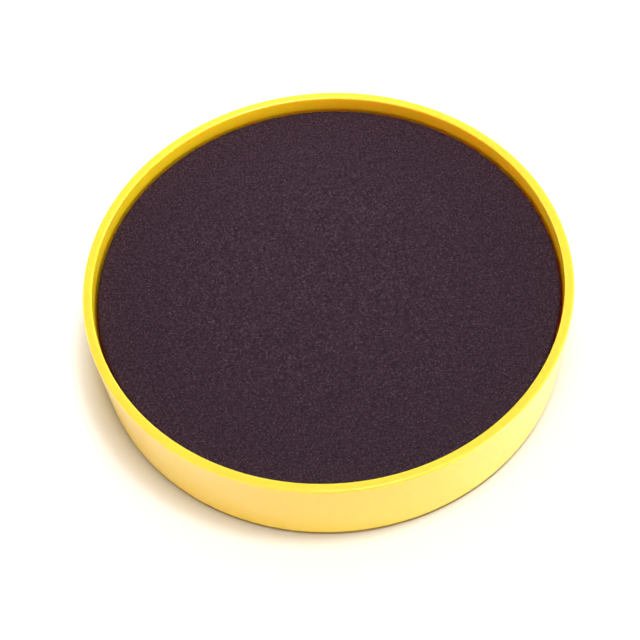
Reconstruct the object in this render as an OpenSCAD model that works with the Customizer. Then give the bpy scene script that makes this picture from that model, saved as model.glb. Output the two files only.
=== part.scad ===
// Round foam polishing pad with a loop backing, lying in its shallow moulded tray.
// Millimetres, +Z up. The origin is at the middle of the foot ring, on the surface it stands on.

/* [Pad] */
// Diameter of the foam
pad_d = 100; // [70:1:160]
// Thickness of the foam at the middle of its face
foam_t = 13.5; // [6:0.5:25]
// Rise of the foam's face from its edge to its middle
foam_crown = 0.3; // [0.1:0.1:1]
// How far the foam's cut side is drawn in at half its height
foam_waist = 0.4; // [0.1:0.1:1.5]
// Radius of the foam's upper edge
foam_edge_r = 1; // [0.4:0.1:2]
// Thickness of the adhesive film
film_t = 0.2; // [0.1:0.05:0.5]
// Thickness of the loop backing
loop_t = 1.1; // [0.6:0.1:2]
// Radius of the loop backing's lower edge
loop_edge_r = 0.3; // [0.1:0.05:0.5]

/* [Tray] */
// Height of the rim above the middle of the pad's face
rim_above_face = 3; // [1:0.5:10]
// Width of the rim, which is the wall's thickness at the top
rim_wall = 2.1; // [1.6:0.1:4]
// Thickness of the wall where it meets the floor
base_wall = 1.3; // [1:0.1:3]
// Draft of the inner wall, in degrees
inner_draft = 0.5; // [0.25:0.25:2]
// Thickness of the floor
floor_t = 1.8; // [1.4:0.1:3]
// Radius of the rim's outer edge
rim_outer_r = 0.5; // [0.2:0.1:0.8]
// Radius of the rim's inner edge
rim_inner_r = 0.4; // [0.2:0.1:0.6]
// Radius of the fillet between the floor and the wall
floor_fillet_r = 0.6; // [0.3:0.1:1]
// Diameter of the dimple around the moulding gate under the floor
gate_d = 8; // [4:0.5:15]
// Depth of the gate dimple
gate_depth = 0.4; // [0.2:0.1:0.8]
// Diameter of the gate's broken-off stub
gate_stub_d = 1.6; // [1:0.1:3]
// Height of the gate's stub
gate_stub_h = 0.25; // [0.1:0.05:0.5]

/* [Foot ring] */
// Height of the foot ring
foot_h = 0.9; // [0.7:0.1:3]
// Width of the foot ring
foot_w = 2.5; // [1:0.1:6]
// How far the foot ring is set in from the wall's lower edge
foot_inset = 4.5; // [1:0.1:6]
// Radius of the foot ring's edges and of the fillets at its root
foot_edge_r = 0.3; // [0.1:0.05:0.3]
// Radius of the wall's lower outer edge
base_edge_r = 0.5; // [0.2:0.1:0.6]

/* [Fit] */
// Clearance all round between the pad and the tray's wall, at the floor
pad_gap = 0.3; // [0.2:0.1:2]
// Clearance between the loop backing and the floor's fillet
fillet_gap = 0.2; // [0.1:0.1:1]

/* [Hidden] */

// Smoothness of the revolved bodies, of a rounded corner and of the foam's curves
round_fn = 180;
corner_steps = 6;
side_steps = 10;
face_steps = 12;

// Heights, from the foot ring up
floor_z = foot_h + floor_t;
film_z = floor_z + loop_t;
foam_z = film_z + film_t;
face_z = foam_z + foam_t;
tray_h = face_z + rim_above_face;

// Radii of the tray, from the pad out
pad_r = pad_d / 2;
well_r = pad_r + pad_gap;
wall_h = tray_h - floor_z;
rim_in_r = well_r + wall_h * tan(inner_draft);
rim_r = rim_in_r + rim_wall;
wall_slope = (rim_r - well_r - base_wall) / wall_h;
base_r = rim_r - wall_slope * (tray_h - foot_h);
foot_r = base_r - foot_inset;
backing_r = well_r - floor_fillet_r - fillet_gap;

// Corners of the tray's half section: radius, height and the radius of the rounding there
tray_section = [
  [0, foot_h + gate_depth - gate_stub_h, 0],
  [gate_stub_d / 2, foot_h + gate_depth - gate_stub_h, 0],
  [gate_stub_d / 2, foot_h + gate_depth, 0],
  [gate_d / 2, foot_h + gate_depth, 0],
  [gate_d / 2, foot_h, 0],
  [foot_r - foot_w, foot_h, foot_edge_r],
  [foot_r - foot_w, 0, foot_edge_r],
  [foot_r, 0, foot_edge_r],
  [foot_r, foot_h, foot_edge_r],
  [base_r, foot_h, base_edge_r],
  [rim_r, tray_h, rim_outer_r],
  [rim_in_r, tray_h, rim_inner_r],
  [well_r, floor_z, floor_fillet_r],
  [0, floor_z, 0],
];

// Corners of the loop backing's half section, in the same form
backing_section = [
  [0, floor_z, 0],
  [backing_r, floor_z, loop_edge_r],
  [backing_r, film_z, 0],
  [0, film_z, 0],
];

// The foam's drawn-in side, its rounded upper edge and its crowned face
edge_z = face_z - foam_crown - foam_edge_r;
face_r = pad_r - foam_edge_r;
foam_side = [
  for (i = [0 : side_steps])
    let (t = i / side_steps)
    [pad_r - foam_waist * 4 * t * (1 - t), foam_z + (edge_z - foam_z) * t]
];
foam_edge = [
  for (i = [1 : corner_steps])
    let (a = 90 * i / corner_steps)
    [face_r + foam_edge_r * cos(a), edge_z + foam_edge_r * sin(a)]
];
foam_face = [
  for (i = [1 : face_steps])
    let (t = 1 - i / face_steps)
    [face_r * t, face_z - foam_crown * t * t]
];

function unit(v) = v / norm(v);

// The arc that rounds the corner at b, between the lines to a and to c
function corner_arc(a, b, c, r) =
  let (
    u = unit(a - b),
    v = unit(c - b),
    half = acos(u * v) / 2,
    centre = b + unit(u + v) * r / sin(half),
    from = b + u * r / tan(half) - centre,
    to = b + v * r / tan(half) - centre,
    start = atan2(from.y, from.x),
    turn = (atan2(to.y, to.x) - start + 540) % 360 - 180
  )
  [
    for (i = [0 : corner_steps])
      let (angle = start + turn * i / corner_steps)
      centre + r * [cos(angle), sin(angle)]
  ];

function flat(p) = [p.x, p.y];

// The outline of a section whose corners each give the radius of their rounding
function rounded(section) =
  let (n = len(section))
  [
    for (i = [0 : n - 1])
      let (
        a = flat(section[(i + n - 1) % n]),
        b = flat(section[i]),
        c = flat(section[(i + 1) % n]),
        r = section[i].z
      )
      each r > 0 ? corner_arc(a, b, c, r) : [b]
  ];

module revolved(outline) {
  rotate_extrude($fn = round_fn)
    polygon(outline);
}

// One injection moulding: foot ring, thin floor and a wall that thickens towards its rounded rim
module tray() {
  color("#f7cf22")
    revolved(rounded(tray_section));
}

// Knitted loop fabric that grips a hook-faced plate
module loop_backing() {
  color("#3a3a3d")
    revolved(rounded(backing_section));
}

// Thin layer of hot-melt adhesive between the loop fabric and the foam
module bond_film() {
  color("#d9d2bd")
    translate([0, 0, film_z])
      cylinder(h = film_t, r = backing_r, $fn = round_fn);
}

// Die-cut disc of fine-cell foam with a slightly crowned working face
module foam_pad() {
  color("#3f2f38")
    revolved(concat([[0, foam_z]], foam_side, foam_edge, foam_face));
}

tray();
loop_backing();
bond_film();
foam_pad();
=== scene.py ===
import math

import bpy
from mathutils import Matrix, Vector


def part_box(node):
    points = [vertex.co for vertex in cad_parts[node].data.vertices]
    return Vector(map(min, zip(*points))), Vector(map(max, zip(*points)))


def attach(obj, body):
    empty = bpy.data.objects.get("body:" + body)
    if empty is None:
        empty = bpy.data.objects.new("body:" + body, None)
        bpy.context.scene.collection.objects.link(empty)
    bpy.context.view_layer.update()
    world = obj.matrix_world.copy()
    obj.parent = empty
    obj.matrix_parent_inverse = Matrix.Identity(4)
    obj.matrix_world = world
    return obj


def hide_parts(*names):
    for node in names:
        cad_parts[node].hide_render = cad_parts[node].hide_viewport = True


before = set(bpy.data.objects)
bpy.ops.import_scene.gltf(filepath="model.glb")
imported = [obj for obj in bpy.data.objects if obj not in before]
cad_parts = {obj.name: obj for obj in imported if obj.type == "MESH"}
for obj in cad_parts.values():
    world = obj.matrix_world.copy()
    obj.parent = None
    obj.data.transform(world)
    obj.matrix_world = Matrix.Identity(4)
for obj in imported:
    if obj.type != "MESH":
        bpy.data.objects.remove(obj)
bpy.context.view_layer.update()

scene = bpy.context.scene
scene.view_settings.view_transform = "Standard"

MM = 0.001

# Places and sizes from the frame
foam_low, foam_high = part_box("foam_pad")
backing_low, backing_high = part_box("loop_backing")
pad_r = foam_high.x
backing_r = backing_high.x
rim_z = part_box("tray")[1].z

# The tray's finish
TINT_CLOUD_SIZE = 25 * MM
SCUFF_SIZE = 12 * MM
PEEL_SIZE = 1.6 * MM
PEEL_DEPTH = 0.002 * MM
GLOW_DEPTH = 2.0 * MM

# The foam's form
FOAM_CROWN = 0.3 * MM
FOAM_WAIST = 0.4 * MM
FOAM_EDGE_R = 1.0 * MM
FACE_RINGS = 150
EDGE_ROWS = 5
SIDE_ROWS = 22

# Points that a ring of a disc has more than the ring inside it
RING_STEP = 6

# The foam's cells: about 55 to the inch, with a few larger pores
CELL_SIZE = 0.46 * MM
CELL_DEPTH = 0.13 * MM
PORE_SIZE = 1.5 * MM
PORE_DEPTH = 0.05 * MM
SKIVE_RIPPLE_SIZE = 9 * MM
SKIVE_RIPPLE = 0.05 * MM

# Height over the pad's back below which nothing is sunk, so that the back stays flat
FLAT_BACK = 0.01 * MM

# Where a pit's floor ends and where its edge is, in shares of its size from its middle
CELL_PIT = (0.15, 0.7)
PORE_PIT = (0.1, 0.35)

# The foam's grain: how large it is, and its share of the lightness beside the painted shade in the cell pits
GRAIN_SIZE = 0.55 * MM
GRAIN_SHARE = 0.6
GRAIN_DEPTH = 0.08 * MM
# The painted glints: light flecks painted into the foam's colour in place of highlights on the struts
PAINTED_GLINT_SIZE = 0.4 * MM

# The knitted ground of the loop fabric on the pad's back
KNIT_T = 0.35 * MM
KNIT_RINGS = 40
KNIT_PITCH = 0.8 * MM
KNIT_DEPTH = 0.1 * MM
KNIT_FUZZ = 200.0

# The loops that hang from it: a lean is in radians, and the shortest is a share of a full loop
LOOP_SPACING = 0.9 * MM
LOOP_WIDTH = 0.9 * MM
LOOP_YARN_R = 0.07 * MM
LOOP_CLEAR = 0.05 * MM
LOOP_LEAN = 0.5
LOOP_SHORTEST = 0.75
LOOP_POINTS = 6
YARN_SIDES = 3
YARN_SHADE_SIZE = 1.5 * MM
PILE_SIDES = 96
LOOP_SEED = 3

# The adhesive film and the paper floor
FILM_CLOUD_SIZE = 2 * MM
PAPER_FIBRE_SIZE = 3 * MM

# The camera, aimed at a point on the rim's plane: degrees, metres, and millimetres for its lens
VIEW_AIM = Vector((-2.14 * MM, -11.82 * MM, rim_z))
VIEW_AZIMUTH = -89.31
VIEW_ELEVATION = 55.63
VIEW_DISTANCE = 314.1 * MM
VIEW_ROLL = -4.90
VIEW_LENS = 84.375
VIEW_SENSOR = 36

# Light levels: the share of white that each adds on a level white surface
WORLD_LEVEL = 0.05
KEY_LEVEL = 0.32
FILL_LEVEL = 0.58
BACK_LEVEL = 0.40
SIDE_LEVEL = 0.04
BACK_CARD_LEVEL = 0.02
LEFT_CARD_LEVEL = 0.045
RIGHT_CARD_LEVEL = 0.029
WARM = "#FFCF96"

# The floor, and how far from its middle its lift to white starts and is full
FLOOR_SIZE = 3.0
FLOOR_LIFT_START = 52 * MM
FLOOR_LIFT_END = 150 * MM


def linear(code):
    """An sRGB hex colour as a linear RGBA colour."""
    def channel(pair):
        value = int(pair, 16) / 255
        return value / 12.92 if value <= 0.04045 else ((value + 0.055) / 1.055) ** 2.4
    return (channel(code[1:3]), channel(code[3:5]), channel(code[5:7]), 1.0)


def add(tree, kind, inputs=None, **settings):
    """Adds a node with its settings; an input is a value, or a socket to link.

    Sockets that share a name go by number. A Mix node has its factor at 0, numbers at 2 and 3 and colours
    at 6 and 7; a Random Value node has vectors at 0 and 1 and numbers at 2 and 3.
    """
    node = tree.nodes.new(kind)
    for name, value in settings.items():
        setattr(node, name, value)
    for name, value in (inputs or {}).items():
        if isinstance(value, bpy.types.NodeSocket):
            tree.links.new(value, node.inputs[name])
        else:
            node.inputs[name].default_value = value
    return node


def blank_material(name):
    """A material with no nodes, and its tree."""
    material = bpy.data.materials.new(name)
    material.use_nodes = True
    material.node_tree.nodes.clear()
    return material, material.node_tree


# Materials

def moulded_polypropylene():
    """Injection-moulded polypropylene, dyed through: semi-gloss, with a faint orange peel from the mould.

    The dye lets red travel furthest inside, so shaded walls glow orange.
    """
    material, tree = blank_material("moulded_polypropylene")
    place = add(tree, "ShaderNodeTexCoord").outputs["Object"]
    cloud = add(tree, "ShaderNodeTexNoise", {"Vector": place, "Scale": 1 / TINT_CLOUD_SIZE, "Detail": 2.0})
    tint = add(
        tree, "ShaderNodeMix",
        {0: cloud.outputs["Fac"], 6: linear("#F3D216"), 7: linear("#F5D81B")},
        data_type="RGBA",
    )
    scuff = add(tree, "ShaderNodeTexNoise", {"Vector": place, "Scale": 1 / SCUFF_SIZE, "Detail": 1.0})
    gloss = add(
        tree, "ShaderNodeMapRange",
        {"Value": scuff.outputs["Fac"], "From Min": 0.3, "From Max": 0.7, "To Min": 0.29, "To Max": 0.34},
    )
    peel = add(tree, "ShaderNodeTexNoise", {"Vector": place, "Scale": 1 / PEEL_SIZE, "Detail": 1.0})
    bump = add(
        tree, "ShaderNodeBump",
        {"Height": peel.outputs["Fac"], "Strength": 1.0, "Distance": PEEL_DEPTH},
    )
    shader = add(
        tree, "ShaderNodeBsdfPrincipled",
        {
            "Base Color": tint.outputs[2],
            "Roughness": gloss.outputs["Result"],
            "Normal": bump.outputs["Normal"],
            "IOR": 1.5,
            "Coat Weight": 0.6,
            "Coat Roughness": 0.15,
            "Coat IOR": 1.5,
            "Subsurface Weight": 0.8,
            "Subsurface Radius": (1.0, 0.35, 0.04),
            "Subsurface Scale": GLOW_DEPTH,
        },
    )
    add(tree, "ShaderNodeOutputMaterial", {"Surface": shader.outputs["BSDF"]})
    return material


def open_cell_foam():
    """Skived open-cell polyurethane foam: matt, with painted shade in its cell pits, a random grain and
    painted glints as light flecks.
    """
    material, tree = blank_material("open_cell_polyurethane_foam")
    place = add(tree, "ShaderNodeTexCoord").outputs["Object"]
    cells = add(tree, "ShaderNodeTexVoronoi", {"Vector": place, "Scale": 1 / CELL_SIZE})
    # Painted shade: the colour darkens towards the middle of each cell pit
    painted_pit_shade = add(
        tree, "ShaderNodeMapRange",
        {"Value": cells.outputs["Distance"], "From Min": CELL_PIT[0], "From Max": CELL_PIT[1]},
    )
    noise = add(tree, "ShaderNodeTexNoise", {"Vector": place, "Scale": 1 / GRAIN_SIZE, "Detail": 3.0})
    grain = add(
        tree, "ShaderNodeMapRange",
        {"Value": noise.outputs["Fac"], "From Min": 0.35, "From Max": 0.65},
    )
    pit_shade_and_grain = add(
        tree, "ShaderNodeMix",
        {0: GRAIN_SHARE, 2: painted_pit_shade.outputs["Result"], 3: grain.outputs["Result"]},
        data_type="FLOAT",
    ).outputs[0]
    # From the painted pit shade and the dark grain up to the foam's lighter tone
    tint = add(
        tree, "ShaderNodeMix",
        {0: pit_shade_and_grain, 6: linear("#170C12"), 7: linear("#36222E")},
        data_type="RGBA",
    )
    # Painted glints: light flecks at random, mixed into the colour in place of highlights on the struts
    painted_glint_noise = add(tree, "ShaderNodeTexNoise", {"Vector": place, "Scale": 1 / PAINTED_GLINT_SIZE, "Detail": 2.0})
    painted_glint_mask = add(
        tree, "ShaderNodeMapRange",
        {"Value": painted_glint_noise.outputs["Fac"], "From Min": 0.53, "From Max": 0.72},
    )
    painted_glint_tint = add(
        tree, "ShaderNodeMix",
        {0: painted_glint_mask.outputs["Result"], 6: tint.outputs[2], 7: linear("#4C3B45")},
        data_type="RGBA",
    )
    bump = add(
        tree, "ShaderNodeBump",
        {"Height": pit_shade_and_grain, "Strength": 0.6, "Distance": GRAIN_DEPTH},
    )
    shader = add(
        tree, "ShaderNodeBsdfPrincipled",
        {
            "Base Color": painted_glint_tint.outputs[2],
            "Normal": bump.outputs["Normal"],
            "Roughness": 0.5,
            "Specular IOR Level": 0.07,
        },
    )
    add(tree, "ShaderNodeOutputMaterial", {"Surface": shader.outputs["BSDF"]})
    return material


def knitted_polyester():
    """Warp-knitted polyester ground of the loop fabric: matt, with rows of stitches and a fuzz of fibres.

    A wave repeats every pi / (10 * scale), and its distortion is KNIT_FUZZ times finer than its scale.
    """
    material, tree = blank_material("knitted_polyester")
    place = add(tree, "ShaderNodeTexCoord").outputs["Object"]
    wales = add(
        tree, "ShaderNodeTexWave",
        {
            "Vector": place,
            "Scale": math.pi / (10 * KNIT_PITCH),
            "Distortion": 1.0,
            "Detail Scale": KNIT_FUZZ,
        },
    )
    tint = add(
        tree, "ShaderNodeMix",
        {0: wales.outputs["Fac"], 6: linear("#232325"), 7: linear("#414145")},
        data_type="RGBA",
    )
    bump = add(
        tree, "ShaderNodeBump",
        {"Height": wales.outputs["Fac"], "Strength": 1.0, "Distance": KNIT_DEPTH},
    )
    shader = add(
        tree, "ShaderNodeBsdfPrincipled",
        {
            "Base Color": tint.outputs[2],
            "Normal": bump.outputs["Normal"],
            "Roughness": 0.85,
            "Sheen Weight": 0.2,
        },
    )
    add(tree, "ShaderNodeOutputMaterial", {"Surface": shader.outputs["BSDF"]})
    return material


def nylon_loop_yarn():
    """Fine nylon loops raised from the knit: slightly silky, some a little lighter than others."""
    material, tree = blank_material("nylon_loop_yarn")
    place = add(tree, "ShaderNodeTexCoord").outputs["Object"]
    shade = add(tree, "ShaderNodeTexNoise", {"Vector": place, "Scale": 1 / YARN_SHADE_SIZE, "Detail": 3.0})
    tint = add(
        tree, "ShaderNodeMix",
        {0: shade.outputs["Fac"], 6: linear("#2B2B2E"), 7: linear("#5A5A60")},
        data_type="RGBA",
    )
    shader = add(
        tree, "ShaderNodeBsdfPrincipled",
        {"Base Color": tint.outputs[2], "Roughness": 0.5, "Sheen Weight": 0.3},
    )
    add(tree, "ShaderNodeOutputMaterial", {"Surface": shader.outputs["BSDF"]})
    return material


def hot_melt_film():
    """Hot-melt adhesive film: waxy and cloudy, paler where it is thicker."""
    material, tree = blank_material("hot_melt_film")
    place = add(tree, "ShaderNodeTexCoord").outputs["Object"]
    cloud = add(tree, "ShaderNodeTexNoise", {"Vector": place, "Scale": 1 / FILM_CLOUD_SIZE, "Detail": 3.0})
    tint = add(
        tree, "ShaderNodeMix",
        {0: cloud.outputs["Fac"], 6: linear("#C9C0A6"), 7: linear("#E4DCC6")},
        data_type="RGBA",
    )
    shader = add(
        tree, "ShaderNodeBsdfPrincipled",
        {"Base Color": tint.outputs[2], "Roughness": 0.45, "IOR": 1.48},
    )
    add(tree, "ShaderNodeOutputMaterial", {"Surface": shader.outputs["BSDF"]})
    return material


def seen_directly(tree):
    """A factor that is 1 for camera, glossy and transmission rays."""
    path = add(tree, "ShaderNodeLightPath")
    camera_or_glossy = add(
        tree, "ShaderNodeMath",
        {0: path.outputs["Is Camera Ray"], 1: path.outputs["Is Glossy Ray"]},
        operation="MAXIMUM",
    )
    return add(
        tree, "ShaderNodeMath",
        {0: camera_or_glossy.outputs["Value"], 1: path.outputs["Is Transmission Ray"]},
        operation="MAXIMUM",
    ).outputs["Value"]


def white_paper():
    """Seamless white paper: matt, with faint fibres.

    Away from the tray it turns white to the eye and in reflections, which lights nothing else.
    """
    material, tree = blank_material("white_paper")
    place = add(tree, "ShaderNodeTexCoord").outputs["Object"]
    fibres = add(tree, "ShaderNodeTexNoise", {"Vector": place, "Scale": 1 / PAPER_FIBRE_SIZE, "Detail": 2.0})
    tint = add(
        tree, "ShaderNodeMix",
        {0: fibres.outputs["Fac"], 6: linear("#F8F8F8"), 7: linear("#FCFCFC")},
        data_type="RGBA",
    )
    paper = add(tree, "ShaderNodeBsdfDiffuse", {"Color": tint.outputs[2]})
    distance = add(tree, "ShaderNodeVectorMath", {0: place}, operation="LENGTH")
    away = add(
        tree, "ShaderNodeMapRange",
        {"Value": distance.outputs["Value"], "From Min": FLOOR_LIFT_START, "From Max": FLOOR_LIFT_END},
    )
    lift = add(
        tree, "ShaderNodeMath",
        {0: away.outputs["Result"], 1: seen_directly(tree)},
        operation="MULTIPLY",
    )
    glow = add(tree, "ShaderNodeEmission", {"Strength": lift.outputs["Value"]})
    both = add(tree, "ShaderNodeAddShader", {0: paper.outputs["BSDF"], 1: glow.outputs["Emission"]})
    add(tree, "ShaderNodeOutputMaterial", {"Surface": both.outputs["Shader"]})
    return material


# Meshes

def new_object(name, data):
    """An object with that data, in the scene."""
    piece = bpy.data.objects.new(name, data)
    scene.collection.objects.link(piece)
    return piece


def ring_disc(radius, rings):
    """A disc of even triangles, as flat points and faces that look up: ring k has k * RING_STEP points."""
    points = [(0.0, 0.0)]
    faces = []
    inner_start = 0
    for ring in range(1, rings + 1):
        start = len(points)
        count = RING_STEP * ring
        inner_count = max(1, count - RING_STEP)
        r = radius * ring / rings
        for i in range(count):
            angle = math.tau * i / count
            points.append((r * math.cos(angle), r * math.sin(angle)))
        for i in range(count):
            sector, step = divmod(i, ring)
            near = start + i
            far = start + (i + 1) % count
            inner = inner_start + (sector * (ring - 1) + step) % inner_count
            faces.append((near, far, inner))
            if step < ring - 1:
                next_inner = inner_start + (sector * (ring - 1) + step + 1) % inner_count
                faces.append((inner, far, next_inner))
        inner_start = start
    return points, faces


def foam_blank():
    """The pad's form before its cells: crowned face, rounded edge, drawn-in side and flat back.

    The side is drawn in along a parabola, by FOAM_WAIST halfway down.
    """
    face_r = pad_r - FOAM_EDGE_R
    edge_z = foam_high.z - FOAM_CROWN - FOAM_EDGE_R
    flat, faces = ring_disc(face_r, FACE_RINGS)
    points = []
    for x, y in flat:
        share = math.hypot(x, y) / face_r
        points.append((x, y, foam_high.z - FOAM_CROWN * share * share))
    section = []
    for i in range(1, EDGE_ROWS + 1):
        angle = math.pi / 2 * (1 - i / EDGE_ROWS)
        section.append((face_r + FOAM_EDGE_R * math.cos(angle), edge_z + FOAM_EDGE_R * math.sin(angle)))
    for i in range(1, SIDE_ROWS + 1):
        t = i / SIDE_ROWS
        section.append((pad_r - FOAM_WAIST * 4 * t * (1 - t), edge_z + (foam_low.z - edge_z) * t))
    count = RING_STEP * FACE_RINGS
    upper = len(points) - count
    for r, z in section:
        lower = len(points)
        for i in range(count):
            angle = math.tau * i / count
            points.append((r * math.cos(angle), r * math.sin(angle), z))
        for i in range(count):
            j = (i + 1) % count
            faces.append((upper + i, lower + i, lower + j, upper + j))
        upper = lower
    faces.append(tuple(upper + i for i in reversed(range(count))))
    mesh = bpy.data.meshes.new("foam_blank")
    mesh.from_pydata(points, [], faces)
    return mesh


def knit_ground():
    """The loop fabric's ground as a single layer that looks down."""
    flat, faces = ring_disc(backing_r, KNIT_RINGS)
    mesh = bpy.data.meshes.new("knit_ground")
    height = backing_high.z - KNIT_T
    mesh.from_pydata([(x, y, height) for x, y in flat], [], [face[::-1] for face in faces])
    return mesh


# Geometry Nodes

def new_tree(name, sizes):
    """A Geometry Nodes tree with a named input for each size, and its group input."""
    tree = bpy.data.node_groups.new(name, "GeometryNodeTree")
    tree.is_modifier = True
    tree.interface.new_socket("Geometry", in_out="INPUT", socket_type="NodeSocketGeometry")
    tree.interface.new_socket("Geometry", in_out="OUTPUT", socket_type="NodeSocketGeometry")
    for size in sizes:
        kind = "NodeSocketInt" if size == "Seed" else "NodeSocketFloat"
        tree.interface.new_socket(size, in_out="INPUT", socket_type=kind)
    return tree, add(tree, "NodeGroupInput").outputs


def end_tree(tree, geometry, material):
    """Ends a tree with plain, smooth geometry in one material."""
    plain = add(tree, "GeometryNodeRealizeInstances", {"Geometry": geometry})
    smooth = add(tree, "GeometryNodeSetShadeSmooth", {"Geometry": plain.outputs["Geometry"]})
    finish = add(
        tree, "GeometryNodeSetMaterial",
        {"Geometry": smooth.outputs["Geometry"], "Material": material},
    )
    add(tree, "NodeGroupOutput", {"Geometry": finish.outputs["Geometry"]})


def grown(name, blank, tree, values):
    """The plain mesh object that a tree makes from a blank mesh."""
    piece = new_object(name, blank)
    modifier = piece.modifiers.new(tree.name, "NODES")
    modifier.node_group = tree
    for socket in tree.interface.items_tree:
        if socket.in_out == "INPUT" and socket.name in values:
            modifier[socket.identifier] = values[socket.name]
    depsgraph = bpy.context.evaluated_depsgraph_get()
    mesh = bpy.data.meshes.new_from_object(piece.evaluated_get(depsgraph))
    mesh.name = name
    piece.modifiers.clear()
    piece.data = mesh
    bpy.data.meshes.remove(blank)
    return piece


def foam_cell_tree(material):
    """Sinks the cells, a few larger pores and the skiving knife's ripple into the foam's outside."""
    tree, size = new_tree(
        "foam_cells",
        [
            "Back height", "Cell size", "Cell depth", "Pore size", "Pore depth",
            "Ripple size", "Ripple depth",
        ],
    )
    place = add(tree, "GeometryNodeInputPosition").outputs["Position"]
    normal = add(tree, "GeometryNodeInputNormal").outputs["Normal"]
    height = add(tree, "ShaderNodeSeparateXYZ", {"Vector": place}).outputs["Z"]
    outside = add(
        tree, "FunctionNodeCompare",
        {0: height, 1: size["Back height"]},
        data_type="FLOAT", operation="GREATER_THAN",
    )
    sunk = None
    for pattern, (floor_end, pit_edge) in (("Cell", CELL_PIT), ("Pore", PORE_PIT)):
        scale = add(tree, "ShaderNodeMath", {0: 1.0, 1: size[pattern + " size"]}, operation="DIVIDE")
        voronoi = add(tree, "ShaderNodeTexVoronoi", {"Vector": place, "Scale": scale.outputs["Value"]})
        pit = add(
            tree, "ShaderNodeMapRange",
            {
                "Value": voronoi.outputs["Distance"],
                "From Min": floor_end,
                "From Max": pit_edge,
                "To Min": 1.0,
                "To Max": 0.0,
            },
        )
        depth = add(
            tree, "ShaderNodeMath",
            {0: pit.outputs["Result"], 1: size[pattern + " depth"]},
            operation="MULTIPLY",
        ).outputs["Value"]
        sunk = depth if sunk is None else add(
            tree, "ShaderNodeMath", {0: sunk, 1: depth}, operation="ADD",
        ).outputs["Value"]
    scale = add(tree, "ShaderNodeMath", {0: 1.0, 1: size["Ripple size"]}, operation="DIVIDE")
    ripple = add(
        tree, "ShaderNodeTexNoise",
        {"Vector": place, "Scale": scale.outputs["Value"], "Detail": 1.0},
    )
    wave = add(
        tree, "ShaderNodeMath",
        {0: ripple.outputs["Fac"], 1: size["Ripple depth"]},
        operation="MULTIPLY",
    )
    total = add(tree, "ShaderNodeMath", {0: sunk, 1: wave.outputs["Value"]}, operation="ADD")
    inward = add(tree, "ShaderNodeMath", {0: total.outputs["Value"], 1: -1.0}, operation="MULTIPLY")
    offset = add(
        tree, "ShaderNodeVectorMath",
        {0: normal, "Scale": inward.outputs["Value"]},
        operation="SCALE",
    )
    moved = add(
        tree, "GeometryNodeSetPosition",
        {
            "Geometry": size["Geometry"],
            "Selection": outside.outputs["Result"],
            "Offset": offset.outputs["Vector"],
        },
    )
    end_tree(tree, moved.outputs["Geometry"], material)
    return tree


def loop_pile_tree(material):
    """Fine loops that hang from the knit, turned and leaning at random."""
    tree, size = new_tree(
        "loop_pile",
        ["Root height", "Radius", "Spacing", "Loop width", "Loop drop", "Yarn radius", "Seed"],
    )
    ground = add(
        tree, "GeometryNodeMeshCircle",
        {"Vertices": PILE_SIDES, "Radius": size["Radius"]},
        fill_type="NGON",
    )
    root = add(tree, "ShaderNodeCombineXYZ", {"Z": size["Root height"]})
    placed = add(
        tree, "GeometryNodeTransform",
        {"Geometry": ground.outputs["Mesh"], "Translation": root.outputs["Vector"]},
    )
    crowd = add(tree, "ShaderNodeMath", {0: size["Spacing"], 1: -2.0}, operation="POWER")
    points = add(
        tree, "GeometryNodeDistributePointsOnFaces",
        {
            "Mesh": placed.outputs["Geometry"],
            "Distance Min": size["Spacing"],
            "Density Max": crowd.outputs["Value"],
            "Seed": size["Seed"],
        },
        distribute_method="POISSON",
    )
    arch = add(
        tree, "GeometryNodeCurveArc",
        {"Resolution": LOOP_POINTS, "Radius": 1.0, "Start Angle": math.pi, "Sweep Angle": math.pi},
    )
    half = add(tree, "ShaderNodeMath", {0: size["Loop width"], 1: 0.5}, operation="MULTIPLY")
    shape = add(
        tree, "ShaderNodeCombineXYZ",
        {"X": half.outputs["Value"], "Y": size["Loop drop"], "Z": 1.0},
    )
    hung = add(
        tree, "GeometryNodeTransform",
        {
            "Geometry": arch.outputs["Curve"],
            "Rotation": (math.pi / 2, 0.0, 0.0),
            "Scale": shape.outputs["Vector"],
        },
    )
    yarn = add(
        tree, "GeometryNodeCurvePrimitiveCircle",
        {"Resolution": YARN_SIDES, "Radius": size["Yarn radius"]},
    )
    loop = add(
        tree, "GeometryNodeCurveToMesh",
        {"Curve": hung.outputs["Geometry"], "Profile Curve": yarn.outputs["Curve"]},
    )
    lean = add(
        tree, "FunctionNodeRandomValue",
        {
            0: (-LOOP_LEAN, -LOOP_LEAN, -math.pi),
            1: (LOOP_LEAN, LOOP_LEAN, math.pi),
            "Seed": size["Seed"],
        },
        data_type="FLOAT_VECTOR",
    )
    growth = add(
        tree, "FunctionNodeRandomValue",
        {2: LOOP_SHORTEST, 3: 1.0, "Seed": size["Seed"]},
        data_type="FLOAT",
    )
    pile = add(
        tree, "GeometryNodeInstanceOnPoints",
        {
            "Points": points.outputs["Points"],
            "Instance": loop.outputs["Mesh"],
            "Rotation": lean.outputs["Value"],
            "Scale": growth.outputs[1],
        },
    )
    end_tree(tree, pile.outputs["Instances"], material)
    return tree


# The tray and the adhesive film keep their solids and get their finish

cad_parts["tray"].data.materials[0] = moulded_polypropylene()
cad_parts["bond_film"].data.materials[0] = hot_melt_film()

# The foam

foam = grown(
    "foam_disc",
    foam_blank(),
    foam_cell_tree(open_cell_foam()),
    {
        "Back height": foam_low.z + FLAT_BACK,
        "Cell size": CELL_SIZE,
        "Cell depth": CELL_DEPTH,
        "Pore size": PORE_SIZE,
        "Pore depth": PORE_DEPTH,
        "Ripple size": SKIVE_RIPPLE_SIZE,
        "Ripple depth": SKIVE_RIPPLE,
    },
)
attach(foam, "pad")
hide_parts("foam_pad")

# The loop fabric: its ground and its pile

ground = new_object("loop_ground", knit_ground())
ground.data.materials.append(knitted_polyester())
thickness = ground.modifiers.new("thickness", "SOLIDIFY")
thickness.thickness = KNIT_T
thickness.offset = -1.0

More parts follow.
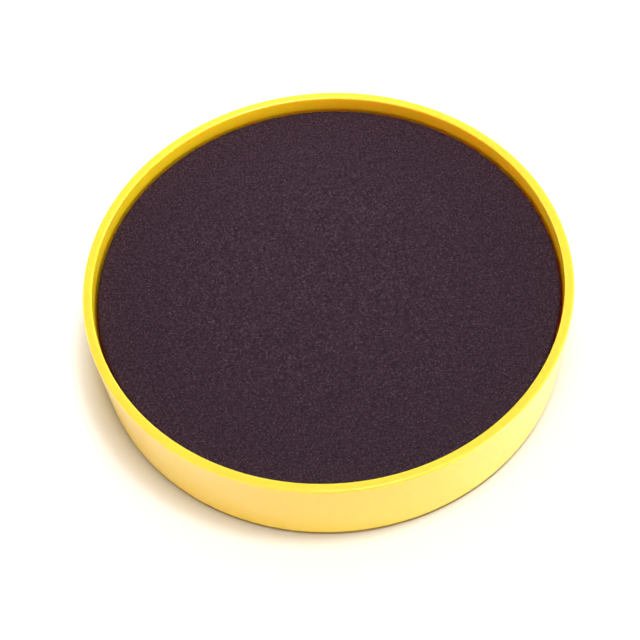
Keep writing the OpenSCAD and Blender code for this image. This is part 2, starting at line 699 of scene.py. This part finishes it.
root_z = backing_high.z - KNIT_T + LOOP_YARN_R
pile = grown(
    "loop_pile",
    bpy.data.meshes.new("pile_blank"),
    loop_pile_tree(nylon_loop_yarn()),
    {
        "Root height": root_z,
        "Radius": backing_r - LOOP_WIDTH / 2 - LOOP_YARN_R,
        "Spacing": LOOP_SPACING,
        "Loop width": LOOP_WIDTH,
        "Loop drop": root_z - LOOP_YARN_R - LOOP_CLEAR - backing_low.z,
        "Yarn radius": LOOP_YARN_R,
        "Seed": LOOP_SEED,
    },
)
for piece in (ground, pile):
    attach(piece, "pad")
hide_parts("loop_backing")

# The floor, the light and the camera

floor_mesh = bpy.data.meshes.new("floor")
edge = FLOOR_SIZE / 2
corners = [(-edge, -edge, 0), (edge, -edge, 0), (edge, edge, 0), (-edge, edge, 0)]
floor_mesh.from_pydata(corners, [], [(0, 1, 2, 3)])
floor_mesh.materials.append(white_paper())
floor = new_object("floor", floor_mesh)

# Lamps that take this collection leave the floor unlit, so that the gap under the tray stays dark
floor_apart = bpy.data.collections.new("floor_apart")
floor_apart.objects.link(floor)
floor_apart.collection_objects[0].light_linking.link_state = "EXCLUDE"

world = bpy.data.worlds.new("white_surroundings")
scene.world = world
world.use_nodes = True
world.node_tree.nodes.clear()
brightness = add(
    world.node_tree, "ShaderNodeMapRange",
    {
        "Value": seen_directly(world.node_tree),
        "To Min": WORLD_LEVEL,
        "To Max": 1.0,
    },
)
sky = add(
    world.node_tree, "ShaderNodeBackground",
    {"Color": linear("#FFFFFF"), "Strength": brightness.outputs["Result"]},
)
add(world.node_tree, "ShaderNodeOutputWorld", {"Surface": sky.outputs["Background"]})


def direction(azimuth, elevation):
    """The unit vector at an azimuth from +X towards +Y and an elevation, in degrees."""
    turn = math.radians(azimuth)
    rise = math.radians(elevation)
    return Vector((math.cos(rise) * math.cos(turn), math.cos(rise) * math.sin(turn), math.sin(rise)))


def softbox(
    name, azimuth, elevation, distance, size, level,
    colour="#FFFFFF", gleams=True, lights_floor=True,
):
    """A lamp of that width and height, in metres, aimed at the middle of the pad's face.

    It adds about that level to a level white surface there. One that doesn't gleam shows in no
    reflection, and one that doesn't light the floor lights the object alone.
    """
    lamp = bpy.data.lights.new(name, "AREA")
    lamp.color = linear(colour)[:3]
    lamp.shape = "RECTANGLE"
    lamp.size, lamp.size_y = size
    lamp.energy = level * (math.pi * distance) ** 2 / math.sin(math.radians(elevation))
    towards = direction(azimuth, elevation)
    piece = new_object(name, lamp)
    piece.location = Vector((0, 0, foam_high.z)) + towards * distance
    piece.rotation_euler = towards.to_track_quat("Z", "Y").to_euler()
    piece.visible_camera = False
    piece.visible_glossy = gleams
    if not lights_floor:
        piece.light_linking.receiver_collection = floor_apart


softbox("key", azimuth=-8, elevation=77, distance=0.9, size=(0.14, 0.14), level=KEY_LEVEL)
softbox("fill", azimuth=-60, elevation=82, distance=0.9, size=(0.3, 0.3), level=FILL_LEVEL)
softbox("back", azimuth=95, elevation=52, distance=0.13, size=(0.1, 0.1), level=BACK_LEVEL, gleams=False)
softbox(
    "side", azimuth=5, elevation=6, distance=0.9, size=(0.4, 0.12), level=SIDE_LEVEL,
    lights_floor=False,
)
softbox("back_card", azimuth=60, elevation=5, distance=0.8, size=(0.8, 0.12), level=BACK_CARD_LEVEL)
softbox("far_left_card", azimuth=145, elevation=5, distance=0.8, size=(0.8, 0.12), level=BACK_CARD_LEVEL)
softbox(
    "left_card", azimuth=-130, elevation=5, distance=0.8, size=(0.8, 0.12), level=LEFT_CARD_LEVEL,
    colour=WARM,
)
softbox(
    "right_card", azimuth=-25, elevation=3.5, distance=0.8, size=(0.5, 0.07), level=RIGHT_CARD_LEVEL,
    lights_floor=False,
)

camera = new_object("camera", bpy.data.cameras.new("camera"))
camera.data.sensor_width = VIEW_SENSOR
camera.data.lens = VIEW_LENS
camera.data.clip_start = 10 * MM
towards_camera = direction(VIEW_AZIMUTH, VIEW_ELEVATION)
stand = Matrix.Translation(VIEW_AIM + towards_camera * VIEW_DISTANCE)
level_view = towards_camera.to_track_quat("Z", "Y").to_matrix()
roll = Matrix.Rotation(math.radians(VIEW_ROLL), 3, "Z")
camera.matrix_world = stand @ (level_view @ roll).to_4x4()
scene.camera = camera
